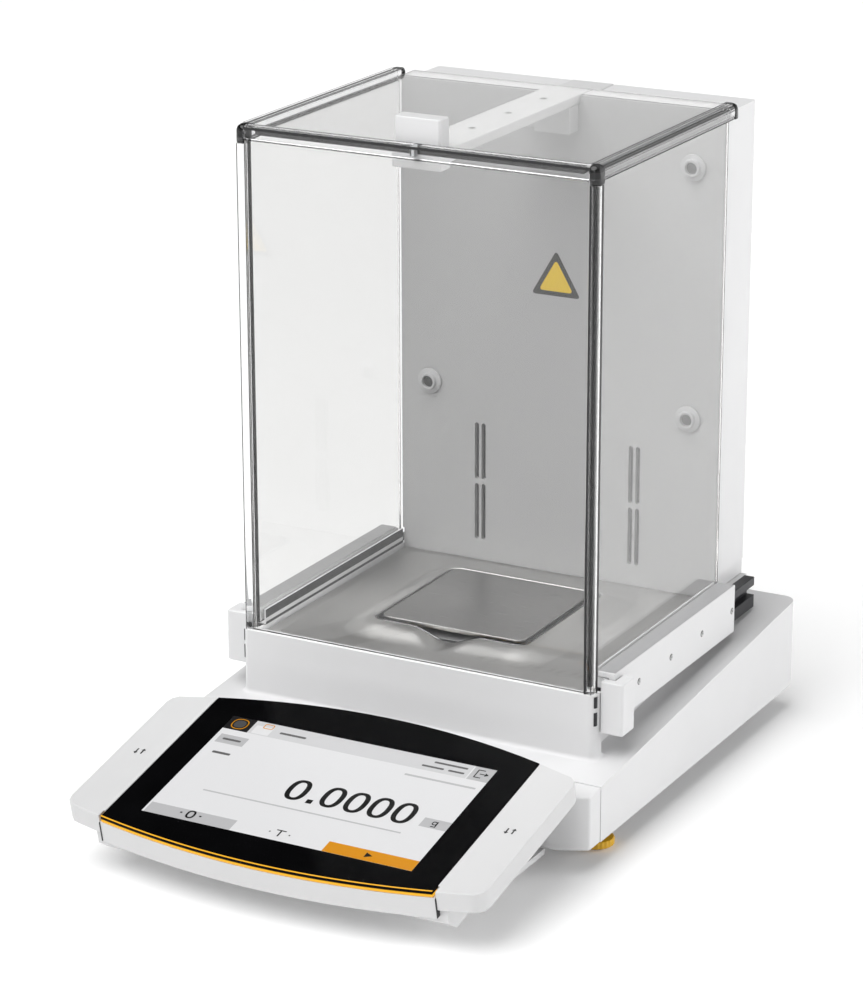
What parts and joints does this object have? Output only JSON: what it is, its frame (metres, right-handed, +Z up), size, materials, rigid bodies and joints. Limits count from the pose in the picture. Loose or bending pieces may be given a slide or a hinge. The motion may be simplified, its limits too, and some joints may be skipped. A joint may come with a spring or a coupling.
{
  "type": "analytical balance",
  "caption": "Laboratory balance with a sliding glass draft shield, a square lift-out pan, levelling feet and a tilting touch display.",
  "frame": {"origin": "on the bench, at the middle of the whole footprint", "axes": "+X to the user's right, +Y from the user to the back, +Z up"},
  "size_m": [0.24, 0.3908, 0.3685],
  "materials": {
    "white_plastic": "satin moulded white",
    "grey_plastic": "satin light grey",
    "dark_plastic": "matt dark grey",
    "black_rail": "black anodised extrusion",
    "dark_elbow": "gloss dark grey",
    "clear_acrylic": "clear polished",
    "float_glass": "clear polished",
    "brushed_stainless": "brushed",
    "dark_chrome": "polished",
    "bare_aluminium": "milled",
    "copper_wire": "enamelled winding",
    "circuit_board": "green solder mask",
    "touch_glass": "black printed glass",
    "amber_plastic": "amber moulded",
    "rubber": "matt"
  },
  "bodies": {
    "base": {"base_shell": "white_plastic", "base_tray": "dark_plastic", "front_cap": "white_plastic", "floor_plate": "brushed_stainless", "tower_cover": "white_plastic", "rear_wall": "grey_plastic", "power_inlet": "dark_plastic", "ionizer_board": "circuit_board", "ion_nozzle_left_lower": "grey_plastic", "ion_nozzle_left_upper": "grey_plastic", "ion_nozzle_right_lower": "grey_plastic", "ion_nozzle_right_upper": "grey_plastic", "front_glass": "float_glass", "front_post_left": "clear_acrylic", "front_post_right": "clear_acrylic", "front_top_rod": "clear_acrylic", "side_top_rod_left": "clear_acrylic", "side_top_rod_right": "clear_acrylic", "front_corner_left": "dark_elbow", "front_corner_right": "dark_elbow", "rear_corner_left": "dark_elbow", "rear_corner_right": "dark_elbow", "door_rail_left": "black_rail", "door_rail_right": "black_rail", "top_guide": "grey_plastic", "pan_support": "bare_aluminium", "draft_ring": "dark_chrome", "cell_block": "bare_aluminium", "force_magnet": "brushed_stainless", "force_coil": "copper_wire", "calibration_lifter": "dark_plastic", "main_board": "circuit_board", "display_stand": "white_plastic", "hinge_pin": "brushed_stainless", "rear_foot_left": "rubber", "rear_foot_right": "rubber"},
    "side_door_left": {"side_glass_left": "float_glass", "door_channel_left": "black_rail", "door_plate_left": "white_plastic", "door_handle_left": "white_plastic"},
    "side_door_right": {"side_glass_right": "float_glass", "door_channel_right": "black_rail", "door_plate_right": "white_plastic", "door_handle_right": "white_plastic"},
    "top_door": {"top_glass": "float_glass", "top_bar": "white_plastic", "top_clamp": "grey_plastic", "top_handle": "white_plastic"},
    "pan": {"weighing_pan": "brushed_stainless"},
    "calibration_weight": {"calibration_weight": "brushed_stainless"},
    "display": {"display_housing": "white_plastic", "touch_glass": "touch_glass", "light_bar": "amber_plastic", "display_module": "dark_plastic", "display_shell": "white_plastic"},
    "foot_left": {"foot_pad_left": "rubber"},
    "foot_right": {"foot_pad_right": "rubber"},
    "foot_screw_left": {"foot_wheel_left": "amber_plastic"},
    "foot_screw_right": {"foot_wheel_right": "amber_plastic"}
  },
  "joints": [
    {"name": "side_door_left_slide", "type": "slide", "parent": "base", "child": "side_door_left", "axis": [0, 1, 0], "range_m": [0, 0.125]},
    {"name": "side_door_right_slide", "type": "slide", "parent": "base", "child": "side_door_right", "axis": [0, 1, 0], "range_m": [0, 0.125]},
    {"name": "top_door_slide", "type": "slide", "parent": "base", "child": "top_door", "axis": [0, 1, 0], "range_m": [0, 0.125]},
    {"name": "pan_lift", "type": "slide", "parent": "base", "child": "pan", "axis": [0, 0, 1], "range_m": [0, 0.03]},
    {"name": "calibration_lift", "type": "slide", "parent": "base", "child": "calibration_weight", "axis": [0, 0, 1], "range_m": [0, 0.003]},
    {"name": "display_tilt", "type": "hinge", "parent": "base", "child": "display", "pos_m": [0, -0.08037, 0.036], "axis": [-1, 0, 0], "range_deg": [0, 12]},
    {"name": "foot_left_slide", "type": "slide", "parent": "base", "child": "foot_left", "axis": [0, 0, -1], "range_m": [0, 0.008]},
    {"name": "foot_left_turn", "type": "hinge", "parent": "foot_left", "child": "foot_screw_left", "pos_m": [-0.106, -0.03107, 0.0033], "axis": [0, 0, 1], "range_deg": [0, 2880]},
    {"name": "foot_right_slide", "type": "slide", "parent": "base", "child": "foot_right", "axis": [0, 0, -1], "range_m": [0, 0.008]},
    {"name": "foot_right_turn", "type": "hinge", "parent": "foot_right", "child": "foot_screw_right", "pos_m": [0.106, -0.03107, 0.0033], "axis": [0, 0, 1], "range_deg": [0, 2880]}
  ],
  "couplings": [
    {"joint": "foot_left_turn", "follows": "foot_left_slide", "rad_per_m": 6283.2},
    {"joint": "foot_right_turn", "follows": "foot_right_slide", "rad_per_m": 6283.2}
  ]
}
